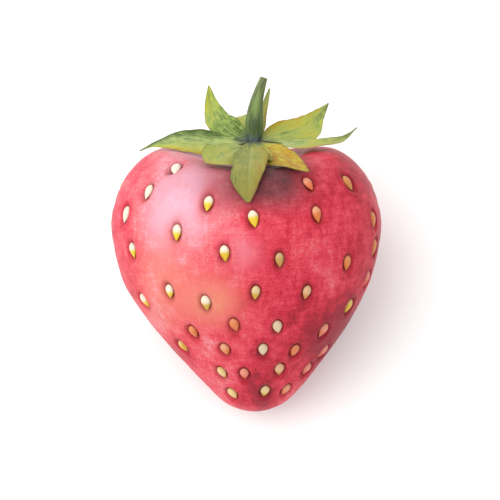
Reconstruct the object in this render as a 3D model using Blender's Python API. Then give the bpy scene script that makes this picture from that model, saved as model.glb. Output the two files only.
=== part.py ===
"""A ripe strawberry as picked, lying on its flank: flesh, achenes, calyx disc, five sepals, five bractlets
and the peduncle. Run it with blender --background --python part.py, or from Blender's text editor.

World frame: metres, +Z up, the table at Z 0, the calyx end towards +Y, the origin in the rest spot.
Berry frame: x to the right, y from the upper side to the underside, z along the axis from tip to calyx,
its origin on the axis at the widest level. One empty, berry_axis, carries the berry frame.
A turn is an angle round the berry's axis from its upper side, positive to the right.
"""

import math
from collections import namedtuple

import bmesh
import bpy
from mathutils import Matrix, Vector

MM = 0.001

# Driving dimensions, in millimetres and degrees.
BERRY_WIDTH = 40.0
BERRY_DEPTH = 36.0
AXIS_TILT = 27.0  # the tip lies this much lower than level, so that the flank rests on the table
REST_CUT = 0.6  # how deep the table flattens the flank
SHOULDER_LIFT = 0.9  # how far the left and right shoulders rise, and the other two drop
TIP_SHIFT = 1.1  # how far the tip stands to the right of the axis
LUMPS = 0.008  # share of the radius by which five soft ridges swell

# Half outline of the flesh as (radius, height above the widest level), from the calyx seat to the tip.
HALF_WIDTH = BERRY_WIDTH / 2
OUTLINE = (
    (0.0, 8.6),
    (4.5, 8.9),
    (9.0, 10.0),
    (13.2, 9.9),
    (16.8, 7.7),
    (19.3, 3.6),
    (HALF_WIDTH, -1.2),
    (18.6, -8.2),
    (15.2, -14.6),
    (11.0, -20.2),
    (7.2, -24.8),
    (4.1, -27.7),
    (0.0, -28.9),
)
CREST = 3.0 / (len(OUTLINE) - 1)  # the outline's share at which the shoulder is past its top
FLESH_STEPS = 44
OUTLINE_STEPS = 24
RIDGE_START = 1.3  # where round the axis the first ridge stands, in radians times five
SHOULDER_REACH = 10.0  # radius and height at which the shoulders' rise is whole
TIP_START = 10.0  # depth below the widest level where the tip begins to shift
TIP_SPAN = 15.0
HALVINGS = 30

# Achenes of the upper side, row by row from the calyx: (height, turn). The underside repeats them, and
# one file of achenes runs down each flank between the two.
UPPER_ACHENES = (
    ((9.4, -47), (8.0, 33), (7.0, 58)),
    ((6.0, -54), (5.6, -18)),
    ((2.3, -66), (3.5, 3), (3.6, 32)),
    ((1.0, -31), (1.4, 69)),
    ((-2.8, -59), (-1.7, -9), (-2.8, 14), (-4.1, 48), (-2.9, 71)),
    ((-8.2, -38), (-9.4, -19), (-7.6, 4), (-8.0, 28), (-7.6, 70)),
    ((-10.6, -61), (-11.4, 60)),
    ((-14.6, -33), (-12.9, -7), (-13.3, 15), (-14.8, 46)),
    ((-17.6, -51), (-17.1, -16), (-17.1, 8), (-17.6, 30), (-18.7, 61)),
    ((-21.4, -27), (-21.4, -7), (-20.8, 22), (-21.4, 53)),
    ((-25.2, -29), (-24.6, 12), (-24.7, 40)),
)
FLANK_ACHENES = ((5.0, 94), (-0.6, 91), (-5.3, 94), (-9.7, 91), (-14.5, 94), (-19.5, 91))
ACHENE_LENGTH = 2.35
ACHENE_WIDTH = 1.3
ACHENE_THICKNESS = 0.9
ACHENE_TAPER = 0.3  # how much narrower the end towards the tip is
ACHENE_DEPTH = 0.3  # its middle below the surface of the flesh
PIT_LENGTH = 3.4
PIT_WIDTH = 2.5
PIT_DEPTH = 1.2
PIT_RISE = 0.25  # the pit's middle above the surface
BEDDED_DEPTH = 0.85  # the middle of an achene that is joined to the bottom of its pit

# Calyx and peduncle.
GAP = 0.3
STALK_SIDE = 0.75  # the calyx sits this much to the right of the axis
DISC_RADIUS = 2.35
DISC_BOTTOM = 9.3
DISC_TOP = 11.3
DISC_BEVEL = 0.35
DISC_SEGMENTS = 20
LEAF_THICKNESS = 0.45
LEAF_ROOT = 1.5
LEAF_TIP = 0.35
LEAF_CUP = 0.14  # rise of the edges, as a share of the half width
LEAF_STATIONS = 13
LEAF_LANES = 5
ROLLED_FROM = 0.35  # the share of a blade's length over which its roll comes in
PEDUNCLE = (  # (x, y, z, diameter)
    (0.95, 0.0, DISC_TOP + GAP, 2.7),
    (1.05, 0.1, 14.0, 2.65),
    (1.20, 0.2, 16.4, 2.35),
    (1.60, 0.3, 18.8, 1.7),
    (2.45, 0.4, 21.6, 1.15),
)
PEDUNCLE_STEPS = 12

Leaf = namedtuple("Leaf", "name turn width belly point roll path")
LEAVES = (
    # belly is the share of the length where the blade is broadest, and point how sharp its tip is. A
    # positive roll lifts the edge of the greater turn. path is (reach from the stalk, height) at the
    # root, at two places on the blade and at the tip.
    Leaf("sepal_top", -2, 5.6, 0.55, 0.7, 0, ((2.8, 10.1), (8.2, 10.6), (14.0, 9.2), (17.2, 5.6))),
    Leaf("sepal_top_right", 37, 4.6, 0.5, 0.8, 24, ((2.8, 10.1), (7.2, 11.1), (11.2, 11.1), (15.2, 9.8))),
    Leaf("sepal_right", 121, 5.4, 0.5, 1.4, 38, ((2.8, 10.1), (5.8, 13.2), (10.7, 14.4), (13.4, 17.0))),
    Leaf("sepal_under", -169, 5.2, 0.55, 0.8, 0, ((2.8, 10.1), (5.0, 12.7), (8.6, 14.6), (12.0, 14.2))),
    Leaf("sepal_left", -86, 5.5, 0.4, 1.4, -28, ((2.8, 10.1), (7.2, 12.2), (12.4, 12.5), (16.5, 10.8))),
    Leaf("bractlet_top", 19, 2.4, 0.5, 0.8, 0, ((2.8, 11.1), (5.0, 12.0), (7.2, 12.2), (9.2, 11.4))),
    Leaf("bractlet_right", 85, 3.4, 0.42, 1.2, 15, ((2.8, 11.1), (7.0, 11.8), (11.5, 12.2), (15.7, 14.3))),
    Leaf("bractlet_under_right", 158, 1.8, 0.4, 1.0, 0, ((2.8, 11.1), (3.6, 13.7), (5.0, 16.6), (7.0, 19.3))),
    Leaf("bractlet_under_left", -133, 4.6, 0.36, 1.2, -38, ((2.8, 11.1), (5.4, 13.9), (7.6, 16.9), (8.6, 20.1))),
    Leaf("bractlet_top_left", -33, 4.9, 0.6, 0.6, -10, ((2.8, 11.1), (6.2, 12.1), (9.8, 12.0), (13.0, 10.8))),
)


def clear_scene():
    for obj in list(bpy.data.objects):
        bpy.data.objects.remove(obj)


def finish_of(name, colour, roughness):
    """A non-metal material of one colour and roughness."""
    material = bpy.data.materials.new(name)
    material.use_nodes = True
    shader = material.node_tree.nodes["Principled BSDF"]
    shader.inputs["Base Color"].default_value = (*colour, 1.0)
    shader.inputs["Roughness"].default_value = roughness
    shader.inputs["Metallic"].default_value = 0.0
    return material


def add_object(name, data, parent, material=None):
    obj = bpy.data.objects.new(name, data)
    bpy.context.scene.collection.objects.link(obj)
    obj.parent = parent
    if material and not data.materials:
        data.materials.append(material)
    return obj


def mesh_from(name, bm, smooth_below=40):
    mesh = bpy.data.meshes.new(name)
    bm.to_mesh(mesh)
    bm.free()
    mesh.shade_smooth()
    mesh.set_sharp_from_angle(angle=math.radians(smooth_below))
    return mesh


def through(points, share):
    """The place on a smooth Catmull-Rom curve through the points, at a share from 0 to 1 of its spans."""
    points = [Vector(p) for p in points]
    spans = len(points) - 1
    start = min(int(share * spans), spans - 1)
    t = share * spans - start
    before = points[start - 1] if start else 2 * points[0] - points[1]
    after = points[start + 2] if start + 2 <= spans else 2 * points[-1] - points[-2]
    here, there = points[start], points[start + 1]
    return 0.5 * (
        2 * here
        + (there - before) * t
        + (2 * before - 5 * here + 4 * there - after) * t**2
        + (3 * here - before - 3 * there + after) * t**3
    )


# ---- flesh ----


def outline_point(share):
    """(radius, height) on the flesh's half outline. The curve crosses the axis squarely at both ends."""
    mirrored = [(-OUTLINE[1][0], OUTLINE[1][1]), *OUTLINE, (-OUTLINE[-2][0], OUTLINE[-2][1])]
    spans = len(mirrored) - 1
    radius, height = through(mirrored, (1 + share * (spans - 2)) / spans)
    return max(radius, 0.0), height


def shaped(radius, height, turn):
    """Turns a point of the round form into the berry's: flattened in depth, with raised side shoulders,
    a tip that stands to the right and five soft ridges. Millimetres in, metres in the berry frame out."""
    radius *= 1 + LUMPS * math.cos(5 * turn + RIDGE_START) * radius / HALF_WIDTH
    shoulder = min(max(height, 0.0) / SHOULDER_REACH, 1.0) ** 2 * min(radius / SHOULDER_REACH, 1.0) ** 2
    below = min(max((-height - TIP_START) / TIP_SPAN, 0.0), 1.0)
    return MM * Vector(
        (
            radius * math.sin(turn) + TIP_SHIFT * below,
            -radius * math.cos(turn) * BERRY_DEPTH / BERRY_WIDTH,
            height - SHOULDER_LIFT * math.cos(2 * turn) * shoulder,
        )
    )


def flesh_form():
    """The outline spun round the axis and shaped, with its poles closed."""
    bm = bmesh.new()
    verts = []
    for step in range(OUTLINE_STEPS + 1):
        radius, height = outline_point(step / OUTLINE_STEPS)
        verts.append(bm.verts.new((0, -radius, height)))
    edges = [bm.edges.new(pair) for pair in zip(verts, verts[1:])]
    bmesh.ops.spin(
        bm, geom=verts + edges, axis=(0, 0, 1), cent=(0, 0, 0), angle=math.tau, steps=FLESH_STEPS, use_merge=True
    )
    bmesh.ops.remove_doubles(bm, verts=bm.verts, dist=1e-4)
    for vert in bm.verts:
        x, y, height = vert.co
        vert.co = shaped(math.hypot(x, y), height, math.atan2(x, -y))
    bmesh.ops.recalc_face_normals(bm, faces=bm.faces)
    return bm


def lay_down(bm, axis):
    """Tilts the berry frame and sets it so that the table plane cuts the flank REST_CUT deep under it."""
    axis.rotation_euler = (math.radians(AXIS_TILT - 90), 0, 0)
    turned = axis.rotation_euler.to_matrix()
    lowest = min((turned @ vert.co for vert in bm.verts), key=lambda place: place.z)
    axis.location = (0, -lowest.y, -lowest.z - REST_CUT * MM)
    bpy.context.view_layer.update()


def flatten_rest_spot(bm, axis):
    """Cuts off what reaches below the table and closes the cut with one flat face."""
    to_berry = axis.matrix_world.inverted()
    cut = bmesh.ops.bisect_plane(
        bm,
        geom=[*bm.verts, *bm.edges, *bm.faces],
        plane_co=to_berry @ Vector((0, 0, 0)),
        plane_no=to_berry.to_3x3() @ Vector((0, 0, -1)),
        clear_outer=True,
    )["geom_cut"]
    bmesh.ops.contextual_create(bm, geom=[part for part in cut if isinstance(part, bmesh.types.BMEdge)])
    bmesh.ops.recalc_face_normals(bm, faces=bm.faces)


# ---- achenes and their pits ----


def share_at(height):
    """The outline's share at a height, below the crest of the shoulder, by halving."""
    low, high = CREST, 1.0
    for _ in range(HALVINGS):
        middle = (low + high) / 2
        if outline_point(middle)[1] > height:
            low = middle
        else:
            high = middle
    return low


def seat_at(height, turn, depth):
    """A matrix at that depth under the surface: x across, y into the flesh, z along it to the calyx."""
    share, turn, small = share_at(height), math.radians(turn), 0.004
    here = shaped(*outline_point(share), turn)
    up = shaped(*outline_point(share - small), turn) - shaped(*outline_point(share + small), turn)
    up.normalize()
    across = shaped(*outline_point(share), turn + small) - shaped(*outline_point(share), turn - small)
    inwards = up.cross(across).normalized()
    across = inwards.cross(up)
    seat = Matrix((across, inwards, up)).transposed().to_4x4()
    seat.translation = here + inwards * depth * MM
    return seat


def oval(bm, seat, size, taper, segments, rings):
    """Adds an oval of that size in millimetres (across, into, along), narrower at its lower end."""
    added = bmesh.ops.create_uvsphere(bm, u_segments=segments, v_segments=rings, radius=0.5)["verts"]
    for vert in added:
        x, y, z = vert.co
        narrow = 1 - taper * (0.5 - z)
        vert.co = seat @ (MM * Vector((x * size[0] * narrow, y * size[1] * narrow, z * size[2])))


def achene_mesh(material):
    bm = bmesh.new()
    size = (ACHENE_WIDTH, ACHENE_THICKNESS, ACHENE_LENGTH)
    oval(bm, Matrix.Identity(4), size, ACHENE_TAPER, segments=8, rings=5)
    mesh = mesh_from("achene", bm, smooth_below=80)
    mesh.materials.append(material)
    return mesh


def upper_places():
    return [place for row in UPPER_ACHENES for place in row]


def lower_places(axis):
    """The achenes of the flanks and the underside, which repeats the upper side turned half round. None
    are on the rest spot, where their pits would break into the flat."""
    flanks = [(height, side * turn) for height, turn in FLANK_ACHENES for side in (1, -1)]
    underside = [(height, turn + 180) for height, turn in upper_places()]
    return [place for place in flanks + underside if clearance(*place, axis) > PIT_DEPTH * MM]


def clearance(height, turn, axis):
    """How far a place on the flesh is above the table."""
    return (axis.matrix_world @ seat_at(height, turn, 0).translation).z


def pit_cutters(axis):
    """One helper mesh with an oval for every pit."""
    bm = bmesh.new()
    size = (PIT_WIDTH, 2 * (PIT_DEPTH + PIT_RISE), PIT_LENGTH)
    for height, turn in upper_places() + lower_places(axis):
        oval(bm, seat_at(height, turn, -PIT_RISE), size, 0, segments=8, rings=5)
    return helper("pit_cutters", bm, axis)


def bedded_achenes(axis):
    """One helper mesh with the lower achenes, deep enough to join the bottoms of their pits."""
    bm = bmesh.new()
    size = (ACHENE_WIDTH, ACHENE_THICKNESS, ACHENE_LENGTH)
    for height, turn in lower_places(axis):
        oval(bm, seat_at(height, turn, BEDDED_DEPTH), size, ACHENE_TAPER, segments=6, rings=4)
    return helper("bedded_achenes", bm, axis)


def helper(name, bm, parent):
    """An object that only a Boolean reads."""
    obj = add_object(name, mesh_from(name, bm), parent)
    obj.hide_render = True
    obj.display_type = "WIRE"
    return obj


def add_boolean(obj, other, operation):
    modifier = obj.modifiers.new(other.name, "BOOLEAN")
    modifier.operation = operation
    modifier.solver = "EXACT"
    modifier.object = other


def add_flesh(axis):
    bm = flesh_form()
    lay_down(bm, axis)
    flatten_rest_spot(bm, axis)
    flesh = add_object("flesh", mesh_from("flesh", bm), axis, finish_of("flesh_red", (0.65, 0.035, 0.07), 0.38))
    add_boolean(flesh, pit_cutters(axis), "DIFFERENCE")
    add_boolean(flesh, bedded_achenes(axis), "UNION")


def add_achenes(axis):
    """One object for each achene of the upper side, all sharing one mesh."""
    mesh = achene_mesh(finish_of("achene_yellow", (0.78, 0.52, 0.12), 0.45))
    for number, (height, turn) in enumerate(upper_places(), start=1):
        achene = add_object(f"achene_{number:02d}", mesh, axis)
        achene.matrix_local = seat_at(height, turn, ACHENE_DEPTH)


# ---- calyx and peduncle ----


def add_calyx_disc(axis, green):
    """The round seat that the sepals, bractlets and peduncle grow from: a cylinder with a bevelled rim."""
    bm = bmesh.new()
    height = (DISC_TOP - DISC_BOTTOM) * MM
    bmesh.ops.create_cone(
        bm, cap_ends=True, segments=DISC_SEGMENTS, radius1=DISC_RADIUS * MM, radius2=DISC_RADIUS * MM, depth=height
    )
    rims = [edge for edge in bm.edges if abs(edge.verts[0].co.z - edge.verts[1].co.z) < height / 2]
    bmesh.ops.bevel(bm, geom=rims, offset=DISC_BEVEL * MM, segments=2, profile=0.5, affect="EDGES")
    disc = add_object("calyx_disc", mesh_from("calyx_disc", bm), axis, green)
    disc.location = (STALK_SIDE * MM, 0, (DISC_TOP + DISC_BOTTOM) / 2 * MM)


def half_width(leaf, share):
    """Half the blade's width: a rise from the root to 1 at the belly, times a fall to 0 at the tip."""
    rise = (share / leaf.belly) ** (leaf.point * leaf.belly / (1 - leaf.belly))
    fall = ((1 - share) / (1 - leaf.belly)) ** leaf.point
    return max(leaf.width * rise * fall, LEAF_ROOT * (1 - 2 * share), LEAF_TIP) / 2


def midrib(leaf, share):
    """The blade's middle line, in millimetres from the stalk's axis."""
    reach, height = through(leaf.path, share)
    turn = math.radians(leaf.turn)
    return Vector((reach * math.sin(turn), -reach * math.cos(turn), height))


def add_leaf(leaf, axis, green):
    """A blade: cross-sections along the midrib, cupped and rolled, thickened on both sides."""
    bm = bmesh.new()
    turn = math.radians(leaf.turn)
    level = Vector((math.cos(turn), math.sin(turn), 0))
    rows = []
    for station in range(LEAF_STATIONS):
        share = station / (LEAF_STATIONS - 1)
        along = (midrib(leaf, min(share + 0.01, 1)) - midrib(leaf, max(share - 0.01, 0))).normalized()
        roll = math.radians(leaf.roll) * min(share / ROLLED_FROM, 1)
        side = Matrix.Rotation(roll, 3, along) @ level
        up = along.cross(side).normalized()
        half = half_width(leaf, share)
        row = []
        for lane in range(LEAF_LANES):
            across = 2 * lane / (LEAF_LANES - 1) - 1
            place = midrib(leaf, share) + side * half * across + up * LEAF_CUP * half * across**2
            row.append(bm.verts.new(MM * place))
        rows.append(row)
    for near, far in zip(rows, rows[1:]):
        for lane in range(LEAF_LANES - 1):
            bm.faces.new((near[lane], near[lane + 1], far[lane + 1], far[lane]))
    bmesh.ops.recalc_face_normals(bm, faces=bm.faces)
    blade = add_object(leaf.name, mesh_from(leaf.name, bm), axis, green)
    blade.location = (STALK_SIDE * MM, 0, 0)
    thicken = blade.modifiers.new("thickness", "SOLIDIFY")
    thicken.thickness = LEAF_THICKNESS * MM
    thicken.offset = 0


def add_peduncle(axis, green):
    """The stalk: a curve with a round bevel that thins towards its cut end."""
    curve = bpy.data.curves.new("peduncle", "CURVE")
    curve.dimensions = "3D"
    curve.bevel_depth = PEDUNCLE[0][3] / 2 * MM
    curve.bevel_resolution = 3
    curve.use_fill_caps = True
    spline = curve.splines.new("POLY")
    spline.points.add(PEDUNCLE_STEPS - 1)
    centres = [point[:3] for point in PEDUNCLE]
    widths = [(point[3], 0) for point in PEDUNCLE]
    for step, point in enumerate(spline.points):
        share = step / (PEDUNCLE_STEPS - 1)
        point.co = (*(MM * through(centres, share)), 1)
        point.radius = through(widths, share)[0] / PEDUNCLE[0][3]
    add_object("peduncle", curve, axis, green)


def main():
    clear_scene()
    axis = bpy.data.objects.new("berry_axis", None)
    bpy.context.scene.collection.objects.link(axis)
    add_flesh(axis)
    add_achenes(axis)
    sepal_green = finish_of("sepal_green", (0.30, 0.42, 0.12), 0.55)
    stalk_green = finish_of("stalk_green", (0.20, 0.30, 0.11), 0.5)
    add_calyx_disc(axis, stalk_green)
    add_peduncle(axis, stalk_green)
    for leaf in LEAVES:
        add_leaf(leaf, axis, sepal_green)


main()
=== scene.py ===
"""The looks of a ripe strawberry that lies on its flank: pitted skin, achenes, calyx leaves and stalk.

Shapes are worked out in millimetres in the berry frame: x to the right, y from the upper side to the
underside, z along the axis from tip to calyx. to_world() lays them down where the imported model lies.
"""

from collections import namedtuple

import bpy
import numpy as np
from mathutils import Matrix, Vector


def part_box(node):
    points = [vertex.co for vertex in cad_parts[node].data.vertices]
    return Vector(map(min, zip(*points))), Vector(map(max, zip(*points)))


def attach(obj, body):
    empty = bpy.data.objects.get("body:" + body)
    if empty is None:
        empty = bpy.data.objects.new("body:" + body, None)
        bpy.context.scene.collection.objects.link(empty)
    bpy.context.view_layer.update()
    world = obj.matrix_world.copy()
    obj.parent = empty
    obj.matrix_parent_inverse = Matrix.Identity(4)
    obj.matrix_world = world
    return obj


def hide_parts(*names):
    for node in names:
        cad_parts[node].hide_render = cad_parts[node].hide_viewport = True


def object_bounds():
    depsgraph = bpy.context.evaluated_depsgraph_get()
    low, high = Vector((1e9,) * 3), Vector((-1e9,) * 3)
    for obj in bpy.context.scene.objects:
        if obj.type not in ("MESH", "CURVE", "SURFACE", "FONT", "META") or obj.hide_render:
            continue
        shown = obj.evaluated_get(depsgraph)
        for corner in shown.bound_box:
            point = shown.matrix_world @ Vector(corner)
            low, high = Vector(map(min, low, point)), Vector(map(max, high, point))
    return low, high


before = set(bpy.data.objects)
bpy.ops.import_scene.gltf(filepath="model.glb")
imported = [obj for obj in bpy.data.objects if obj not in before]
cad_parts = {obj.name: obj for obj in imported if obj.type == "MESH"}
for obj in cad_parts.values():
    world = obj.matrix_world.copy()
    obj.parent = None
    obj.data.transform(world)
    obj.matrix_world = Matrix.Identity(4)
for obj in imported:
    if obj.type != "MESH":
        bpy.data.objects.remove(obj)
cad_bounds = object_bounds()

MM = 0.001

# The berry's form, as the model has it.
HALF_WIDTH = 20.0
DEPTH_SHARE = 0.9
AXIS_TILT = np.radians(27.0)
SHOULDER_LIFT = 0.9
SHOULDER_REACH = 10.0  # radius and height at which the shoulders' rise is whole
TIP_SHIFT = 1.1
TIP_START = 10.0  # depth below the widest level where the tip begins to shift
TIP_SPAN = 15.0
LUMPS = 0.008  # share of the radius by which five soft ridges swell
RIDGE_START = 1.3  # where round the axis the first ridge stands, in radians times five
OUTLINE = (
    (0.0, 8.6),
    (4.5, 8.9),
    (9.0, 10.0),
    (13.2, 9.9),
    (16.8, 7.7),
    (19.3, 3.6),
    (HALF_WIDTH, -1.2),
    (18.6, -8.2),
    (15.2, -14.6),
    (11.0, -20.2),
    (7.2, -24.8),
    (4.1, -27.7),
    (0.0, -28.9),
)
CREST = 3.0 / (len(OUTLINE) - 1)  # the outline's share at which the shoulder is past its top
SKIN_ROWS = 262
SKIN_COLUMNS = 356

# Pits and achenes.
FLANK_ACHENES = ((5.0, 94), (-0.6, 91), (-5.3, 94), (-9.7, 91), (-14.5, 94), (-19.5, 91))
PIT_WIDTH = 1.9
PIT_LENGTH = 3.2
PIT_DEPTH = 0.6
PIT_RIM = 0.10
# Painted shade in the pits: how far their colour goes towards a dark red.
PIT_SHADE = 0.85
PIT_FACING = 2.5  # how far in front of or behind a seat its pit still reaches
RIM_PLACE = 1.3  # the middle of the rim, in half pits from the seat
RIM_SPREAD = 0.4
HALO_REACH = 2.0  # in half pits
LOWEST_PIT = 1.2  # height above the table below which there are no pits
ACHENE_LENGTH = 2.45
ACHENE_WIDTH = 1.35
ACHENE_THICKNESS = 0.95
ACHENE_DEPTH = 0.28  # its middle below the surface of the flesh
ACHENE_LEAN = 0.10  # usual lean in its pit, in radians
ACHENE_SIZES = (0.92, 1.06)
TONE_SPREAD = 0.03  # how much the tones of like achenes differ
ACHENE_ROWS = 20
ACHENE_COLUMNS = 18
# (tone, strength of the painted highlight at the upper end, how far down it goes) of the coat, and the
# numbers of its achenes. Tones run from 0, lemon, by 0.5, khaki, to 1, coral.
COATS = (
    ((0.00, 1.0, 1.6), (1, 4, 6)),
    ((0.05, 1.0, 0.5), (5, 9, 11, 16, 21)),
    ((0.12, 1.0, 0.4), (7, 12)),
    ((0.22, 0.35, 0.8), (32, 36)),
    ((0.28, 0.9, 0.5), (17,)),
    ((0.20, 0.25, 0.3), (22, 27)),
    ((0.34, 0.4, 0.5), (18, 37)),
    ((0.45, 0.2, 0.3), (13,)),
    ((0.50, 0.5, 0.9), (25, 29)),
    ((0.62, 0.3, 0.6), (19, 34)),
    ((0.72, 0.1, 0.3), (3, 10, 14, 15, 23, 24)),
    ((0.76, 0.25, 0.4), (8, 28)),
    ((0.86, 0.1, 0.3), (30,)),
    ((0.94, 0.2, 0.5), (2, 20, 26, 31, 33, 35, 38)),
)

# Extra lean, in radians to the right, of the achenes with these numbers.
LEANS = {1: -0.65}

# Calyx and stalk.
STALK_SIDE = 0.75
DISC_RADIUS = 2.35
DISC_BOTTOM = 9.3
DISC_TOP = 11.3
DISC_ROWS = 48
DISC_COLUMNS = 80
LEAF_CUP = 0.14  # rise of the edges, as a share of the half width
LEAF_WAVE = 0.10  # height of the waves at the edges, as a share of the half width
LEAF_EDGE = 0.12  # the least half width
LEAF_THICKNESS = 0.34
GROOVE_DEPTH = 0.16
GROOVE_WIDTH = 0.32
RIB_WIDTH = 0.16
ROLLED_FROM = 0.35  # the share of a blade's length over which its roll comes in
LEAF_MARKS = (0, 0.45, 1)  # shares of a blade's length at its root, its middle and its tip
LEAF_ROWS = 90
LEAF_COLUMNS = 64
STALK_ROWS = 90
STALK_COLUMNS = 64
PEDUNCLE = (  # (x, y, z, diameter)
    (0.80, 0.00, 11.2, 1.7),
    (0.95, 0.05, 12.8, 2.35),
    (1.05, 0.10, 14.6, 2.6),
    (1.20, 0.20, 16.6, 2.25),
    (1.60, 0.30, 18.8, 1.7),
    (2.45, 0.40, 21.5, 1.15),
)
CUT_DISH = (  # (share of the radius, depth) of the rings on the stalk's cut end
    (0.93, 0.06),
    (0.75, 0.0),
    (0.4, -0.12),
    (0.0, -0.15),
)

# path is (reach from the stalk, height) from root to tip. lesser and greater are the half widths at even
# stations on the sides of the lesser and the greater turn. A positive roll lifts the greater side.
# tones run from 0, deep green, by 0.5, yellow green, to 1, rust: at the root, in the middle, at the tip,
# and what the lesser and the greater edge add. The brown tint and the milk say how far the blade is darkened
# towards brown and how far it is lightened towards a milky green at the root, in the middle and at the tip.
Leaf = namedtuple("Leaf", "name turn roll path lesser greater tones dust milk")
LEAVES = (
    Leaf(
        name="sepal_top",
        turn=-2,
        roll=0,
        path=((0.9, 12.0), (4.5, 11.4), (8.6, 10.7), (12.6, 9.7), (15.4, 8.0), (17.2, 5.6)),
        lesser=(0.9, 1.6, 2.3, 2.5, 2.6, 2.2, 0.3),
        greater=(0.9, 1.8, 2.6, 2.6, 2.0, 1.3, 0.3),
        # the greater edge's yellow and the lesser edge's darker green paint a lit half and a shaded half
        tones=(0.50, 0.57, 0.66, -0.10, 0.24),
        dust=(0.38, 0.52, 0.68),
        milk=(0.10, 0.05, 0.00),
    ),
    Leaf(
        name="sepal_top_right",
        turn=32,
        roll=26,
        path=((1.0, 12.0), (5.6, 11.3), (10.4, 10.6), (15.4, 9.5)),
        lesser=(0.9, 1.7, 2.6, 2.9, 2.5, 1.4, 0.1),
        greater=(0.9, 1.4, 1.6, 1.6, 1.4, 0.8, 0.1),
        tones=(0.64, 0.87, 0.86, 0.03, 0.03),
        dust=(0.10, 0.05, 0.10),
        milk=(0.00, 0.00, 0.00),
    ),
    Leaf(
        name="sepal_right",
        turn=121,
        roll=38,
        path=((0.9, 12.0), (5.2, 12.5), (9.6, 13.6), (12.0, 15.2), (13.4, 17.0)),
        lesser=(1.3, 2.6, 3.3, 2.7, 1.2, 0.4, 0.1),
        greater=(1.0, 2.4, 2.7, 2.2, 1.6, 0.9, 0.1),
        tones=(0.50, 0.54, 0.30, 0.06, 0.34),
        dust=(0.10, 0.10, 0.35),
        milk=(0.12, 0.00, 0.00),
    ),
    Leaf(
        name="sepal_under",
        turn=-175,
        roll=0,
        path=((0.9, 12.0), (5.0, 12.9), (8.6, 14.3), (12.0, 14.6)),
        lesser=(1.0, 1.8, 2.1, 2.1, 1.7, 1.0, 0.1),
        greater=(1.0, 1.8, 2.1, 2.1, 1.7, 1.0, 0.1),
        tones=(0.40, 0.52, 0.56, 0.06, 0.06),
        dust=(0.10, 0.10, 0.10),
        milk=(0.00, 0.00, 0.00),
    ),
    Leaf(
        name="sepal_left",
        turn=-86,
        roll=-45,
        path=((0.6, 12.0), (5.6, 11.9), (10.9, 12.5), (14.2, 12.0), (16.8, 10.8)),
        lesser=(1.2, 2.0, 2.1, 1.4, 0.6, 0.25, 0.1),
        greater=(1.2, 2.3, 2.7, 2.5, 1.4, 0.4, 0.1),
        tones=(0.45, 0.47, 0.12, -0.34, 0.44),
        dust=(0.00, 0.05, 0.15),
        milk=(0.10, 0.18, 0.03),
    ),
    Leaf(
        name="bractlet_top",
        turn=19,
        roll=0,
        path=((1.0, 12.1), (4.0, 11.5), (6.5, 10.9), (8.6, 10.3)),
        lesser=(0.5, 0.8, 1.0, 1.1, 1.0, 0.6, 0.1),
        greater=(0.5, 0.8, 1.0, 1.1, 1.0, 0.6, 0.1),
        tones=(0.50, 0.66, 0.72, 0.02, 0.04),
        dust=(0.20, 0.20, 0.20),
        milk=(0.00, 0.00, 0.00),
    ),
    Leaf(
        name="bractlet_right",
        turn=85,
        roll=15,
        path=((0.9, 12.0), (5.6, 11.7), (10.1, 12.0), (13.1, 12.6), (15.6, 14.4)),
        lesser=(0.8, 1.6, 2.0, 2.2, 2.2, 1.5, 0.1),
        greater=(0.8, 1.6, 1.9, 1.5, 1.0, 0.5, 0.1),
        tones=(0.46, 0.64, 0.30, 0.12, -0.04),
        dust=(0.00, 0.18, 0.60),
        milk=(0.55, 0.05, 0.05),
    ),
    Leaf(
        name="bractlet_under_right",
        turn=158,
        roll=0,
        path=((0.9, 12.2), (3.5, 13.7), (4.9, 16.6), (6.9, 19.3)),
        lesser=(0.6, 0.7, 0.7, 0.6, 0.5, 0.4, 0.1),
        greater=(0.6, 0.7, 0.7, 0.6, 0.5, 0.4, 0.1),
        tones=(0.50, 0.64, 0.45, 0.05, 0.05),
        dust=(0.50, 0.55, 0.35),
        milk=(0.00, 0.00, 0.00),
    ),
    Leaf(
        name="bractlet_under_left",
        turn=-133,
        roll=-38,
        path=((0.6, 12.0), (4.2, 13.0), (6.9, 14.6), (8.3, 16.8), (9.0, 19.8)),
        lesser=(1.0, 1.9, 2.2, 1.9, 1.4, 0.8, 0.1),
        greater=(1.0, 1.8, 2.2, 2.0, 1.5, 0.8, 0.1),
        tones=(0.12, 0.38, 0.62, 0.02, 0.14),
        dust=(0.10, 0.00, 0.00),
        milk=(0.00, 0.00, 0.00),
    ),
    Leaf(
        name="bractlet_top_left",
        turn=-33,
        roll=-25,
        path=((0.9, 11.8), (5.0, 11.2), (8.9, 10.8), (12.4, 10.4)),
        lesser=(0.9, 1.5, 2.0, 2.4, 2.6, 2.1, 0.3),
        greater=(0.9, 1.7, 2.5, 3.1, 3.3, 2.5, 0.3),
        tones=(0.40, 0.58, 0.64, 0.00, 0.10),
        dust=(0.10, 0.12, 0.15),
        milk=(0.20, 0.10, 0.10),
    ),
)


# ---- curves and meshes ----


def through(points, share):
    """Catmull-Rom curve through the points: a cubic in each span, read at shares 0 to 1 of all spans."""
    points = np.asarray(points, float)
    spans = len(points) - 1
    padded = np.vstack([2 * points[0] - points[1], points, 2 * points[-1] - points[-2]])
    at = np.asarray(share, float) * spans
    start = np.clip(at.astype(int), 0, spans - 1)
    t = (at - start)[..., None]
    a, b, c, d = (padded[start + step] for step in range(4))
    return 0.5 * (2 * b + (c - a) * t + (2 * a - 5 * b + 4 * c - d) * t**2 + (3 * b - a - 3 * c + d) * t**3)


def smooth_step(low, high, value):
    """0 below low, 1 above high, and 3t^2 - 2t^3 between them."""
    t = np.clip((value - low) / (high - low), 0, 1)
    return t * t * (3 - 2 * t)


def unit(vectors):
    return vectors / np.linalg.norm(vectors, axis=-1, keepdims=True)


def dot(a, b):
    return (a * b).sum(axis=-1)


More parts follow.
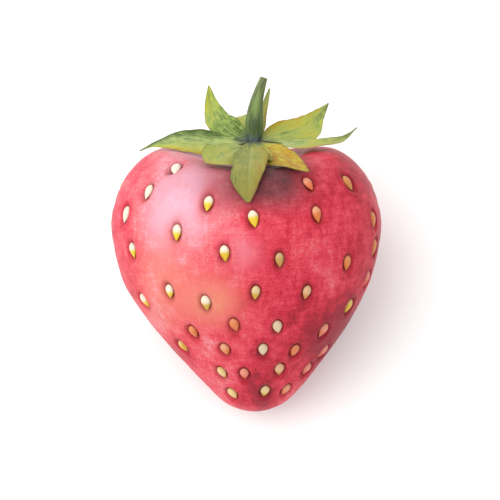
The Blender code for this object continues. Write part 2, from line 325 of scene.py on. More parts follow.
def ring_grid(rows, columns):
    """(s, angle) on a grid: s runs from 0 to 1 over the rows, and angle runs once round each ring."""
    angle = np.linspace(0, 2 * np.pi, columns, endpoint=False)
    return np.meshgrid(np.linspace(0, 1, rows), angle, indexing="ij")


def ringed_surface(rings):
    """Points, quads and triangles of a closed surface through rings of points (rows, columns, 3) in world
    metres. Neighbouring rings are joined by quads, and the first and last ring shrink to one point each,
    joined by a fan of triangles. Faces point outwards: their order is turned round if the signed volume is
    negative."""
    rows, columns = rings.shape[:2]
    body = rings[1:-1].reshape(-1, 3)
    points = np.vstack([body, rings[0].mean(axis=0), rings[-1].mean(axis=0)])
    here = np.arange(columns)
    after = (here + 1) % columns
    starts = (np.arange(rows - 3) * columns)[:, None]
    quads = np.stack([starts + here, starts + columns + here, starts + columns + after, starts + after], -1)
    quads = quads.reshape(-1, 4)
    first, last = len(body), len(body) + 1
    final = (rows - 3) * columns
    fans = np.vstack(
        [
            np.stack([np.full(columns, first), here, after], -1),
            np.stack([np.full(columns, last), final + after, final + here], -1),
        ]
    )
    a, b, c = (points[fans[:, k]] for k in range(3))
    p, q, r, s = (points[quads[:, k]] for k in range(4))
    volume = dot(a, np.cross(b, c)).sum() + dot(p, np.cross(q, r)).sum() + dot(p, np.cross(r, s)).sum()
    if volume < 0:
        quads, fans = quads[:, ::-1], fans[:, ::-1]
    return points, quads, fans


def closed_mesh(name, points, quads, fans):
    mesh = bpy.data.meshes.new(name)
    mesh.from_pydata(points, [], quads.tolist() + fans.tolist())
    mesh.shade_smooth()
    return mesh


def ringed_values(fields):
    """The fields' values in the order of ringed_surface's points."""
    return {
        name: np.concatenate([values[1:-1].ravel(), [values[0].mean(), values[-1].mean()]])
        for name, values in fields.items()
    }


def store(mesh, fields):
    """Stores each field as a float attribute on the mesh's points."""
    for name, values in fields.items():
        attribute = mesh.attributes.new(name, "FLOAT", "POINT")
        attribute.data.foreach_set("value", np.ascontiguousarray(values, dtype=np.float32))


def ringed_mesh(name, points, fields):
    """A closed mesh through rings of points in the berry frame, with its fields."""
    mesh = closed_mesh(name, *ringed_surface(to_world(points)))
    store(mesh, ringed_values(fields))
    return mesh


def add_piece(name, mesh, material, replaced=()):
    piece = bpy.data.objects.new(name, mesh)
    bpy.context.scene.collection.objects.link(piece)
    mesh.materials.append(material)
    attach(piece, "root")
    if replaced:
        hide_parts(*replaced)


# ---- the berry's form ----


def outline(share):
    """(radius, height) on the half outline. Mirrored end points make it cross the axis squarely."""
    mirrored = [(-OUTLINE[1][0], OUTLINE[1][1]), *OUTLINE, (-OUTLINE[-2][0], OUTLINE[-2][1])]
    spans = len(mirrored) - 1
    at = through(mirrored, (1 + np.asarray(share, float) * (spans - 2)) / spans)
    return np.maximum(at[..., 0], 0), at[..., 1]


def berry_surface(share, turn):
    """The smooth form at (share, turn): the outline's radius and height, turned round the axis, flattened in
    depth, with raised side shoulders, a tip that stands to the right and five soft ridges."""
    radius, height = outline(share)
    radius = radius * (1 + LUMPS * np.cos(5 * turn + RIDGE_START) * radius / HALF_WIDTH)
    shoulder = np.clip(height / SHOULDER_REACH, 0, 1) ** 2 * np.clip(radius / SHOULDER_REACH, 0, 1) ** 2
    below = np.clip((-height - TIP_START) / TIP_SPAN, 0, 1)
    return np.stack(
        [
            radius * np.sin(turn) + TIP_SHIFT * below,
            -radius * np.cos(turn) * DEPTH_SHARE,
            height - SHOULDER_LIFT * np.cos(2 * turn) * shoulder,
        ],
        axis=-1,
    )


BERRY_AXES = np.array(
    [
        [1, 0, 0],
        [0, np.sin(AXIS_TILT), -np.cos(AXIS_TILT)],
        [0, np.cos(AXIS_TILT), np.sin(AXIS_TILT)],
    ]
)


def find_origin():
    """Where the berry frame's origin lies: the laid form's box meets the box of the CAD flesh at its top
    and at the middle of its length and width."""
    share, turn = np.meshgrid(np.linspace(0, 1, 200), np.linspace(-np.pi, np.pi, 200))
    laid = berry_surface(share, turn).reshape(-1, 3) @ BERRY_AXES
    low, high = (np.array(corner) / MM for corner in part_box("flesh"))
    origin = (low + high) / 2 - (laid.min(axis=0) + laid.max(axis=0)) / 2
    origin[2] = high[2] - laid[:, 2].max()
    return origin


BERRY_ORIGIN = find_origin()


def to_world(points):
    """Berry millimetres to world metres. Nothing goes below the table, which makes the rest spot flat."""
    world = (points @ BERRY_AXES + BERRY_ORIGIN) * MM
    world[..., 2] = np.maximum(world[..., 2], 0)
    return world


def to_berry(world):
    return (np.asarray(world) / MM - BERRY_ORIGIN) @ BERRY_AXES.T


# ---- where the achenes sit ----


def share_at(height):
    """The outline's share at a height below the crest of the shoulder, read from the outline's own table."""
    shares = np.linspace(CREST, 1, 2000)
    heights = outline(shares)[1]
    return np.interp(-np.asarray(height, float), -heights, shares)


def nearest_place(centre):
    """(share, turn) of the place on the form that is nearest to a point in the berry frame."""
    share, turn = np.meshgrid(np.linspace(CREST, 0.99, 500), np.linspace(-np.pi, np.pi, 720))
    apart = np.linalg.norm(berry_surface(share, turn) - centre, axis=-1)
    best = np.unravel_index(apart.argmin(), apart.shape)
    return share[best], turn[best]


def achene_nodes():
    return sorted(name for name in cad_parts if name.startswith("achene_"))


def achene_places():
    """Rows of (share, turn): first the CAD's achene nodes, from their boxes, then those of the flanks and,
    half a turn round, of the underside, where they are clear of the rest spot."""
    centres = [to_berry((low + high) / 2) for low, high in map(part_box, achene_nodes())]
    upper = np.array([nearest_place(centre) for centre in centres])
    heights, turns = np.array(FLANK_ACHENES, float).T
    flank = np.stack([share_at(heights), np.radians(turns)], axis=-1)
    lower = np.vstack([flank, flank * (1, -1), upper + (0, np.pi)])
    clear = to_world(berry_surface(lower[:, 0], lower[:, 1]))[:, 2] > LOWEST_PIT * MM
    return upper, lower[clear]


def seats(places):
    """For each place, the point on the form and the unit directions across, inwards and up along it."""
    share, turn = places.T
    small = 0.004
    centre = berry_surface(share, turn)
    up = unit(berry_surface(share - small, turn) - berry_surface(share + small, turn))
    across = berry_surface(share, turn + small) - berry_surface(share, turn - small)
    inwards = unit(np.cross(up, across))
    return centre, np.cross(inwards, up), inwards, up


UPPER_PLACES, LOWER_PLACES = achene_places()


# ---- node groups and materials ----


def feed(tree, made, inputs):
    """Sets the node's inputs, by name or number, to values, or links them to sockets."""
    for key, value in inputs.items():
        if isinstance(value, bpy.types.NodeSocket):
            tree.links.new(value, made.inputs[key])
        else:
            made.inputs[key].default_value = value


def add_node(tree, kind, inputs=None, **settings):
    made = tree.nodes.new("ShaderNode" + kind)
    for name, value in settings.items():
        setattr(made, name, value)
    feed(tree, made, inputs or {})
    return made


def calculate(tree, operation, *values):
    return add_node(tree, "Math", dict(enumerate(values)), operation=operation).outputs[0]


def mix_colours(tree, factor, first, second):
    return add_node(tree, "Mix", {0: factor, 6: first, 7: second}, data_type="RGBA").outputs[2]


def ramp(tree, factor, stops):
    """A colour ramp from (place, colour) stops."""
    made = add_node(tree, "ValToRGB", {0: factor})
    elements = made.color_ramp.elements
    elements[0].position = stops[0][0]
    elements[1].position = stops[-1][0]
    for place, _ in stops[1:-1]:
        elements.new(place)
    for element, (_, colour) in zip(elements, stops):
        element.color = (*colour, 1)
    return made.outputs[0]


def read_field(tree, name):
    return add_node(tree, "Attribute", attribute_name=name).outputs["Fac"]


def new_group(name, inputs, outputs):
    """An empty shader group with those sockets, and its input and output nodes."""
    group = bpy.data.node_groups.new(name, "ShaderNodeTree")
    for socket, kind, default in inputs:
        made = group.interface.new_socket(socket, in_out="INPUT", socket_type=kind)
        made.default_value = default
    for socket, kind in outputs:
        group.interface.new_socket(socket, in_out="OUTPUT", socket_type=kind)
    entry = group.nodes.new("NodeGroupInput").outputs
    leave = group.nodes.new("NodeGroupOutput").inputs
    return group, entry, leave


def use_group(tree, group, inputs):
    made = tree.nodes.new("ShaderNodeGroup")
    made.node_tree = group
    feed(tree, made, inputs)
    return made.outputs


NOISE_GAIN = 4.0  # widens the noise's narrow spread round its middle
# (size, strength, octaves) of the wash's layers
WASH_LAYERS = (("Patch size", "Patches", 3), ("Blot size", "Blots", 4), ("Grain size", "Grain", 2))


def make_wash_group():
    """Uneven pigment: broad soft patches, smaller blots and a fine grain, each centred on 0."""
    group, entry, leave = new_group(
        "wash",
        [
            ("Patch size", "NodeSocketFloat", 7.0),
            ("Blot size", "NodeSocketFloat", 1.6),
            ("Grain size", "NodeSocketFloat", 0.25),
            ("Patches", "NodeSocketFloat", 0.2),
            ("Blots", "NodeSocketFloat", 0.1),
            ("Grain", "NodeSocketFloat", 0.05),
        ],
        [("Shift", "NodeSocketFloat"), ("Height", "NodeSocketFloat")],
    )
    place = add_node(group, "TexCoord").outputs["Object"]
    parts = []
    for size, strength, detail in WASH_LAYERS:
        scale = calculate(group, "DIVIDE", 1 / MM, entry[size])
        settings = {"Vector": place, "Scale": scale, "Detail": detail, "Roughness": 0.55}
        noise = add_node(group, "TexNoise", settings).outputs[0]
        centred = calculate(group, "SUBTRACT", noise, 0.5)
        widened = calculate(group, "MULTIPLY", centred, NOISE_GAIN)
        parts.append(calculate(group, "MULTIPLY", widened, entry[strength]))
    broad = calculate(group, "ADD", parts[0], parts[1])
    group.links.new(calculate(group, "ADD", broad, parts[2]), leave["Shift"])
    group.links.new(calculate(group, "ADD", parts[1], parts[2]), leave["Height"])
    return group


def make_strokes_group():
    """Long thin fibres: noise that is stretched along the piece, sharpened to streaks between 0 and 1."""
    group, entry, leave = new_group(
        "strokes",
        [
            ("Along", "NodeSocketFloat", 0.0),
            ("Across", "NodeSocketFloat", 0.0),
            ("Count", "NodeSocketFloat", 12.0),
            ("Breaks", "NodeSocketFloat", 3.0),
            ("Seed", "NodeSocketFloat", 0.0),
        ],
        [("Mask", "NodeSocketFloat")],
    )
    lengthwise = calculate(group, "MULTIPLY", entry["Along"], entry["Breaks"])
    crosswise = calculate(group, "MULTIPLY", entry["Across"], entry["Count"])
    place = add_node(group, "CombineXYZ", {0: crosswise, 1: lengthwise, 2: entry["Seed"]}).outputs[0]
    noise = add_node(group, "TexNoise", {"Vector": place, "Scale": 1.0, "Detail": 3.0, "Distortion": 0.6})
    limits = {0: noise.outputs[0], 1: 0.42, 2: 0.66}
    mask = add_node(group, "MapRange", limits, interpolation_type="SMOOTHSTEP")
    group.links.new(mask.outputs[0], leave["Mask"])
    return group


def make_brush_group():
    """Soft strokes that follow the berry's length: noise in the berry's own directions, long in height."""
    group, entry, leave = new_group(
        "brush",
        [("Width", "NodeSocketFloat", 0.5), ("Length", "NodeSocketFloat", 5.0)],
        [("Shift", "NodeSocketFloat")],
    )
    place = add_node(group, "TexCoord").outputs["Object"]
    rotation = (np.pi / 2 - AXIS_TILT, 0, 0)
    turned = add_node(group, "Mapping", {"Vector": place, "Rotation": rotation}).outputs[0]
    fine = calculate(group, "DIVIDE", 1 / MM, entry["Width"])
    long = calculate(group, "DIVIDE", 1 / MM, entry["Length"])
    scale = add_node(group, "CombineXYZ", {0: fine, 1: fine, 2: long}).outputs[0]
    stretched = add_node(group, "VectorMath", {0: turned, 1: scale}, operation="MULTIPLY").outputs[0]
    noise = add_node(group, "TexNoise", {"Vector": stretched, "Scale": 1.0, "Detail": 3.0, "Roughness": 0.6})
    group.links.new(calculate(group, "SUBTRACT", noise.outputs[0], 0.5), leave["Shift"])
    return group


WASH = make_wash_group()
STROKES = make_strokes_group()
BRUSH = make_brush_group()


def new_material(name):
    material = bpy.data.materials.new(name)
    material.use_nodes = True
    tree = material.node_tree
    return material, tree, tree.nodes["Principled BSDF"].inputs


def fibres_of(tree, inputs):
    """The mask of the strokes that follow a piece's own fields along and across it."""
    fields = {"Along": read_field(tree, "along"), "Across": read_field(tree, "across")}
    return use_group(tree, STROKES, fields | inputs)["Mask"]


def uneven_roughness(tree, shader, field, change, middle):
    tree.links.new(calculate(tree, "MULTIPLY_ADD", field, change, middle), shader["Roughness"])


def bump(tree, shader, height, strength, distance):
    made = add_node(tree, "Bump", {"Height": height, "Strength": strength, "Distance": distance * MM})
    tree.links.new(made.outputs[0], shader["Normal"])


# The red runs from pink to a dark red; the dark end is reached mostly where painted shade lies.
SKIN_COLOURS = (
    (0.00, (0.62, 0.270, 0.320)),
    (0.25, (0.62, 0.135, 0.150)),
    (0.50, (0.60, 0.052, 0.082)),
    (0.75, (0.45, 0.020, 0.040)),
    (1.00, (0.26, 0.014, 0.029)),
)
# Pale pink of the painted highlight on the left shoulder.
HIGHLIGHT_PINK = (0.70, 0.370, 0.465, 1)
SALMON = (0.62, 0.215, 0.140, 1)
# Brown of the painted shade that the calyx leaves cast round the calyx.
CALYX_SHADE_BROWN = (0.090, 0.030, 0.034, 1)
# Dark red of the painted shade in the pits.
PIT_SHADE_RED = (0.19, 0.018, 0.018, 1)
SKIN_LAYERS = (  # (field, colour, how unevenly it lies)
    ("salmon", SALMON, 1.8),
    # painted highlight on the left shoulder
    ("bloom", HIGHLIGHT_PINK, 3.0),
    # painted shade of the calyx leaves round the calyx
    ("collar", CALYX_SHADE_BROWN, 0.4),
    # painted shade in the pits
    ("pit", PIT_SHADE_RED, 0.3),
)
SKIN_WASH = {"Patches": 0.18, "Blots": 0.16, "Grain": 0.16}
SKIN_STROKES = (  # (width, length, strength)
    (0.7, 6.0, 0.48),
    (3.2, 0.4, 0.34),
)


def skin_material():
    """Moist red skin: how ripe it is and painted shade pick the red, and uneven pigment shifts it. Over it
    lie a painted highlight on one shoulder, salmon patches, painted shade round the calyx and painted shade
    in the pits."""
    material, tree, shader = new_material("moist_red_skin")
    wash = use_group(tree, WASH, SKIN_WASH)
    shift = wash["Shift"]
    for width, length, strength in SKIN_STROKES:
        strokes = use_group(tree, BRUSH, {"Width": width, "Length": length})["Shift"]
        shift = calculate(tree, "MULTIPLY_ADD", strokes, strength, shift)
    # how ripe the skin is, with painted shade added, picks the red
    ripeness = calculate(tree, "ADD", read_field(tree, "ripeness"), shift)
    colour = ramp(tree, ripeness, SKIN_COLOURS)
    for field, tint, unevenness in SKIN_LAYERS:
        strength = calculate(tree, "MULTIPLY_ADD", shift, unevenness, 1.0)
        mask = calculate(tree, "MULTIPLY", read_field(tree, field), strength)
        colour = mix_colours(tree, mask, colour, tint)
    tree.links.new(colour, shader["Base Color"])
    uneven_roughness(tree, shader, wash["Height"], change=0.25, middle=0.45)
    bump(tree, shader, wash["Height"], strength=0.35, distance=0.12)
    shader["Subsurface Weight"].default_value = 0.12
    shader["Subsurface Radius"].default_value = (1.0, 0.25, 0.2)
    shader["Subsurface Scale"].default_value = 1.5 * MM
    shader["Specular IOR Level"].default_value = 0.09
    shader["Coat Weight"].default_value = 0.03
    shader["Coat Roughness"].default_value = 0.25
    return material


ACHENE_COLOURS = (
    (0.00, (0.74, 0.560, 0.020)),
    (0.25, (0.60, 0.370, 0.020)),
    (0.50, (0.40, 0.290, 0.080)),
    (0.75, (0.62, 0.180, 0.035)),
    (1.00, (0.64, 0.110, 0.065)),
)
# Cream of the painted highlight on each achene's upper end.
ACHENE_HIGHLIGHT = (0.72, 0.630, 0.500, 1)
ACHENE_LINE = (0.25, 0.100, 0.025, 1)
ACHENE_WASH = {"Patch size": 6.0, "Blot size": 0.8, "Patches": 0.10, "Blots": 0.05, "Grain": 0.04}


def achene_material():
    """Seed coat: lemon to coral by tone, with a painted highlight at its upper end and fine lengthwise
    lines.
    """
    material, tree, shader = new_material("achene_coat")
    lines = fibres_of(tree, {"Count": 9.0, "Breaks": 2.0})
    wash = use_group(tree, WASH, ACHENE_WASH)
    tone = calculate(tree, "ADD", read_field(tree, "tone"), wash["Shift"])
    coat = ramp(tree, tone, ACHENE_COLOURS)
    lined = mix_colours(tree, calculate(tree, "MULTIPLY", lines, 0.35), coat, ACHENE_LINE)
    # the painted highlight on the upper end
    tree.links.new(mix_colours(tree, read_field(tree, "pale"), lined, ACHENE_HIGHLIGHT), shader["Base Color"])
    uneven_roughness(tree, shader, lines, change=0.2, middle=0.35)
    bump(tree, shader, lines, strength=0.3, distance=0.05)
    shader["Specular IOR Level"].default_value = 0.3
    shader["Coat Weight"].default_value = 0.12
    shader["Coat Roughness"].default_value = 0.25
    return material


LEAF_COLOURS = (
    (0.00, (0.050, 0.085, 0.020)),
    (0.20, (0.130, 0.200, 0.045)),
    (0.40, (0.290, 0.380, 0.095)),
    (0.60, (0.430, 0.430, 0.060)),
    (0.80, (0.420, 0.250, 0.020)),
    (1.00, (0.300, 0.140, 0.040)),
)
# Brown that the blades are darkened towards.
TINT_BROWN = (0.130, 0.100, 0.030, 1)
MILK_GREEN = (0.480, 0.560, 0.360, 1)
LEAF_LINE = (0.070, 0.085, 0.020, 1)
LEAF_RIB = (0.38, 0.42, 0.17, 1)
# Grey of the painted shade where the blades meet round the stalk.
FOOT_SHADE_GREY = (0.060, 0.080, 0.080, 1)
LEAF_WASH = {"Patch size": 4.0, "Blot size": 1.0, "Patches": 0.12, "Blots": 0.10, "Grain": 0.06}


def leaf_material():
    """Leaf green to rust by tone, with darker fibres and uneven pigment. Over it lie a darkening towards
    brown, a lighter midrib, a milky sheen, a dark hem along the edges and painted shade, grey, at the foot
    of the blades."""
    material, tree, shader = new_material("calyx_leaf")
    fibres = fibres_of(tree, {"Count": 9.0, "Breaks": 3.0, "Seed": read_field(tree, "seed")})
    wash = use_group(tree, WASH, LEAF_WASH)
    tone = calculate(tree, "ADD", read_field(tree, "tone"), wash["Shift"])
    darker = calculate(tree, "MULTIPLY_ADD", fibres, -0.20, tone)
    milk = calculate(tree, "MULTIPLY_ADD", wash["Shift"], 0.5, read_field(tree, "milk"))
    layers = (
        (read_field(tree, "dust"), TINT_BROWN),
        (calculate(tree, "MULTIPLY", read_field(tree, "rib"), 0.3), LEAF_RIB),
        (milk, MILK_GREEN),
        (calculate(tree, "MULTIPLY", read_field(tree, "hem"), 0.5), LEAF_LINE),
        # painted shade at the foot of the blades
        (read_field(tree, "foot"), FOOT_SHADE_GREY),
    )
    colour = ramp(tree, darker, LEAF_COLOURS)
    for mask, tint in layers:
        colour = mix_colours(tree, mask, colour, tint)
    tree.links.new(colour, shader["Base Color"])
    uneven_roughness(tree, shader, wash["Height"], change=0.3, middle=0.58)
    bump(tree, shader, fibres, strength=0.4, distance=0.12)
    shader["Subsurface Weight"].default_value = 0.12
    shader["Subsurface Radius"].default_value = (0.5, 0.8, 0.2)
    shader["Subsurface Scale"].default_value = 0.6 * MM
    shader["Specular IOR Level"].default_value = 0.15
    return material


# The dark grey blue at the foot is painted shade among the leaf roots.
STALK_COLOURS = (
    (0.00, (0.075, 0.090, 0.125)),
    (0.14, (0.080, 0.100, 0.110)),
    (0.28, (0.100, 0.155, 0.050)),
    (0.70, (0.150, 0.215, 0.062)),
    (1.00, (0.200, 0.240, 0.100)),
)
STALK_LINE = (0.030, 0.050, 0.018, 1)
STALK_WASH = {"Patch size": 3.0, "Blot size": 0.8, "Patches": 0.06, "Blots": 0.05, "Grain": 0.04}


def stalk_material():
    """Stalk: grey blue painted shade at its foot, green above, with dark fibres along it."""
    material, tree, shader = new_material("stalk_green")
    fibres = fibres_of(tree, {"Count": 7.0, "Breaks": 3.5})
    wash = use_group(tree, WASH, STALK_WASH)
    tone = calculate(tree, "ADD", read_field(tree, "along"), wash["Shift"])
    green = ramp(tree, tone, STALK_COLOURS)
    streaked = mix_colours(tree, calculate(tree, "MULTIPLY", fibres, 0.8), green, STALK_LINE)
    tree.links.new(streaked, shader["Base Color"])
    uneven_roughness(tree, shader, wash["Height"], change=0.3, middle=0.5)
    bump(tree, shader, fibres, strength=0.45, distance=0.15)
    shader["Specular IOR Level"].default_value = 0.2
    return material


# ---- flesh ----


def pit_fields(points, places):
    """How deep each point lies in a pit, on a pit's rim and in the redder halo round it. Around a seat, q is
    the distance across and along it in half pits. The pit is exp(-q^4), the rim a bell round the rim's own
    q, and the halo exp(-(q/h)^2), with h its reach."""
    pit, rim, halo = np.zeros((3, *points.shape[:2]))
    for centre, across, inwards, up in zip(*seats(places)):
        rows, columns = np.nonzero(np.abs(points - centre).max(axis=-1) < 2 * PIT_LENGTH)
        away = points[rows, columns] - centre
        q = np.hypot(dot(away, across) / (PIT_WIDTH / 2), dot(away, up) / (PIT_LENGTH / 2))
        facing = np.exp(-((dot(away, inwards) / PIT_FACING) ** 2))
        shapes = (
            (pit, np.exp(-(q**4))),
            (rim, np.exp(-(((q - RIM_PLACE) / RIM_SPREAD) ** 2))),
            (halo, np.exp(-((q / HALO_REACH) ** 2))),
        )
        for field, value in shapes:
            field[rows, columns] = np.maximum(field[rows, columns], value * facing)
    return pit, rim, halo


def bell(x, z, middle, spread):
    """A smooth hill of height 1 over (x, z): exp of minus the squared distances in units of the spread."""
    return np.exp(-(((x - middle[0]) / spread[0]) ** 2) - ((z - middle[1]) / spread[1]) ** 2)


def hills(x, z, table):
    """The sum of a table's bells, each given by its middle and spread in (x, z) and its height."""
    return sum(height * bell(x, z, middle, spread) for middle, spread, height in table)


# Hills in (x, z): the deeper red along the edges, low on the right and at the tip is painted shade; the rest
# is how ripe the skin is.
RIPENESS_AND_SHADE_HILLS = (
    ((-10, 6), (5.5, 6), -0.48),
    ((-12.5, -8), (3.5, 9), -0.20),
    ((-16.5, 9), (3, 3), 0.26),
    ((-20, 0), (2.2, 7), 0.24),
    ((-17, -10), (2.2, 6), 0.30),
    ((-12.3, -14), (3, 3), -0.10),
    ((-11.5, -19), (3.5, 4), 0.36),
    ((-6, -17), (3, 3), -0.06),
    ((-2, 1), (4, 3), -0.24),
    ((15, 9), (4, 4), 0.24),
    ((18, -5), (2, 5), 0.10),
    ((12.5, -3), (4, 5), -0.06),
    ((12.5, -16), (5.5, 5.5), 0.44),
    ((15, -12), (3, 3.5), 0.14),
    ((7, -11), (3.5, 4), 0.20),
    ((1.5, -24), (2.5, 4), 0.42),
    ((-3, -24), (2, 3), -0.24),
    ((6, -26), (2, 3), -0.30),
)
# Where the painted highlight lies on the left shoulder.
HIGHLIGHT_HILLS = (
    ((-8, 7), (4, 4), 0.75),
    ((-11, 2.5), (3.5, 4), 0.60),
    ((-1, -1.5), (2.6, 2.6), 0.25),
)
SALMON_HILLS = (
    ((-5, -9), (3.5, 3.5), 0.90),
    ((-12, -7), (4, 7), 0.45),
)
HALO_RIPENESS = 0.16  # how much deeper the red is round each pit


def skin_fields(points):
    """Where the skin has which colour. The red is deeper to the right, along the flanks and low on the
    right: a riper red to the right, and painted shade along the flanks, low on the right and at the tip. A
    painted highlight lies on the left shoulder and salmon patches below it, both only on the sunny upper
    side. Painted shade of the calyx leaves is brown round the calyx, mostly on the upper side, and faint in
    the hollow under the leaves."""
    x, y, z = points[..., 0], points[..., 1], points[..., 2]
    # painted shade: a darker red along the flanks, where the skin turns away from the light
    flanks = np.exp(-((y / 5) ** 2)) * smooth_step(8, 2, z)
    sunny = smooth_step(12, 2, y)
    front = 0.1 + 0.9 * smooth_step(-4, -10, y)
    # painted shade cast by the calyx leaves, strongest on the upper side, and fainter painted shade in the
    # hollow under them
    calyx_shade_spread = np.where(x < 4, 9.5, 5)
    collar = smooth_step(2.6, 7.6, z) * np.exp(-(((x - 4) / calyx_shade_spread) ** 2)) * front
    hollow = smooth_step(12, 8, np.hypot(x, y)) * smooth_step(6, 8, z)
    return {
        "ripeness": 0.49 + 0.008 * x + 0.12 * flanks + hills(x, z, RIPENESS_AND_SHADE_HILLS),
        "bloom": hills(x, z, HIGHLIGHT_HILLS) * sunny,
        "salmon": hills(x, z, SALMON_HILLS) * sunny,
        "collar": np.clip(collar + 0.08 * hollow, 0, 0.92),
    }


def add_flesh():
    """The skin: the smooth form on a grid, moved inwards in the pits and outwards at their rims."""
    turns = np.linspace(-np.pi, np.pi, SKIN_COLUMNS, endpoint=False)
    turn, share = np.meshgrid(turns, np.linspace(0, 1, SKIN_ROWS))
    points = berry_surface(share, turn)
    small = 1e-3
    below = berry_surface(np.minimum(share + small, 1), turn)
    above = berry_surface(np.maximum(share - small, 0), turn)
    right = berry_surface(share, turn + small) - berry_surface(share, turn - small)
    outwards = np.cross(below - above, right)
    outwards[1:-1] = unit(outwards[1:-1])
    outwards[0] = (0, 0, 1)
    outwards[-1] = (0, 0, -1)
    pit, rim, halo = pit_fields(points, np.vstack([UPPER_PLACES, LOWER_PLACES]))
    fields = skin_fields(points)
    fields["ripeness"] += HALO_RIPENESS * halo
    # the painted highlight stays off the halo round each pit
    fields["bloom"] *= 1 - halo
    # painted shade in the pits, as strong as the pit is deep
    fields["pit"] = PIT_SHADE * pit
    moved = points + outwards * (PIT_RIM * rim - PIT_DEPTH * pit)[..., None]
    mesh = ringed_mesh("flesh_skin", moved, fields)
    add_piece("flesh_skin", mesh, skin_material(), ["flesh"])


# ---- achenes ----


def achene_form(centre, across, inwards, up, lean, size):
    """One achene: an oval in cross-section whose radius follows sin(pi s^0.8)^0.8, from its round upper end
    to its slimmer lower end, leant a little in its pit."""
    s, angle = ring_grid(ACHENE_ROWS, ACHENE_COLUMNS)
    radius = 0.5 * np.sin(np.pi * s**0.8) ** 0.8 * (1.06 - 0.2 * s)
    leant_up = up * np.cos(lean) + across * np.sin(lean)
    leant_across = across * np.cos(lean) - up * np.sin(lean)
    along = (0.5 - s) * ACHENE_LENGTH * size
    keel = 1 + 0.06 * np.cos(2 * angle)
    points = (
        centre
        + inwards * ACHENE_DEPTH
        + leant_up * along[..., None]
        + leant_across * (radius * keel * np.cos(angle) * ACHENE_WIDTH * size)[..., None]
        + inwards * (radius * np.sin(angle) * ACHENE_THICKNESS)[..., None]
    )
    return points, s, angle


def coat_of(number, turn):
    """The coat of the achene with that number. Those of flanks and underside have none in the table: they
    are khaki on the left, and coral on the right."""
    for coat, numbers in COATS:
        if number in numbers:
            return coat
    # the middle value is the strength of the painted highlight
    return 0.55 + 0.3 * np.sin(turn), 0.5, 0.4


def add_achenes():
    """One piece for each achene node of the CAD, and one piece that holds those of flanks and underside."""
    coat_material = achene_material()
    random = np.random.default_rng(7)
    places = np.vstack([UPPER_PLACES, LOWER_PLACES])
    names = [*achene_nodes(), *[None] * len(LOWER_PLACES)]
    lower = []
    for number, (name, turn, *seat) in enumerate(zip(names, places[:, 1], *seats(places)), start=1):
        lean = random.normal(0, ACHENE_LEAN)
        size = random.uniform(*ACHENE_SIZES)
        points, s, angle = achene_form(*seat, lean + LEANS.get(number, 0), size)
        tone, highlight_strength, reach = coat_of(number, turn)
        fields = {
            "along": s,
            "across": np.cos(angle),
            "tone": np.full(s.shape, tone + random.normal(0, TONE_SPREAD)),
            # painted highlight on the upper end
            "pale": highlight_strength * smooth_step(reach + 0.12, reach - 0.18, s),
        }
        if name:
            add_piece(name + "_coat", ringed_mesh(name, points, fields), coat_material, [name])
        else:
            lower.append((ringed_surface(to_world(points)), ringed_values(fields)))
    add_piece("lower_achenes", joined_mesh("lower_achenes", lower), coat_material)


def joined_mesh(name, parts):
    """One mesh that holds several separate closed surfaces with the same fields."""
    surfaces, fields = zip(*parts)
    counts = [len(points) for points, _, _ in surfaces]
    starts = np.concatenate([[0], np.cumsum(counts)[:-1]])
    points = np.vstack([points for points, _, _ in surfaces])
    quads = np.vstack([quads + start for (_, quads, _), start in zip(surfaces, starts)])
    fans = np.vstack([fans + start for (_, _, fans), start in zip(surfaces, starts)])
    mesh = closed_mesh(name, points, quads, fans)
    store(mesh, {field: np.concatenate([values[field] for values in fields]) for field in fields[0]})
    return mesh


# ---- calyx and stalk ----


def half_widths(leaf, s, x, seed):
    """The half width on the side that x is on: a curve through the leaf's stations, with a finely uneven
    edge made of two sines."""
    lesser = through(np.array(leaf.lesser)[:, None], s)[..., 0]
    greater = through(np.array(leaf.greater)[:, None], s)[..., 0]
    half = np.where(x < 0, lesser, greater)
    uneven = 1 + 0.03 * np.sin(21 * s + seed + np.sign(x)) + 0.015 * np.sin(53 * s + 2 * seed)
    return np.maximum(half * uneven, LEAF_EDGE)


def blade_form(leaf, seed):
    """A blade as a thin lens carried along its midrib. At (s, angle), with x = cos(angle), the point is the
    midrib plus x half widths to the side. Upwards come a cup of x squared, a groove along the midrib, a wave
    that grows with |x| cubed, and sin(angle) times half a thickness that thins towards edge and tip."""
    s, angle = ring_grid(LEAF_ROWS, LEAF_COLUMNS)
    reach, height = np.moveaxis(through(leaf.path, s[:, 0]), -1, 0)
    turn = np.radians(leaf.turn)
    rib = np.stack([STALK_SIDE + reach * np.sin(turn), -reach * np.cos(turn), height], axis=-1)
    along = unit(np.gradient(rib, axis=0))
    level = np.array([np.cos(turn), np.sin(turn), 0])
    roll = np.radians(leaf.roll) * np.clip(s[:, :1] / ROLLED_FROM, 0, 1)
    tilt = along * dot(along, level)[:, None] * (1 - np.cos(roll))
    side = level * np.cos(roll) + np.cross(along, level) * np.sin(roll) + tilt
    up = unit(np.cross(along, side))
    x = np.cos(angle)
    half = half_widths(leaf, s, x, seed)
    inner = smooth_step(0, 0.15, s) * smooth_step(1, 0.8, s)
    groove = -GROOVE_DEPTH * np.exp(-((x * half / GROOVE_WIDTH) ** 2)) * inner
    ripple = np.sin(11 * s + 2.4 * np.sign(x) + 1.7 * seed) * smooth_step(0.1, 0.4, s)
    wave = LEAF_WAVE * half * np.abs(x) ** 3 * ripple
    lens = 0.5 * LEAF_THICKNESS * np.sin(angle) * (1 - 0.55 * x**2) * (1 - 0.5 * s)
    lift = LEAF_CUP * half * x**2 + groove + wave + lens
    points = rib[:, None] + side[:, None] * (half * x)[..., None] + up[:, None] * lift[..., None]
    return points, s, x, half, reach[:, None]


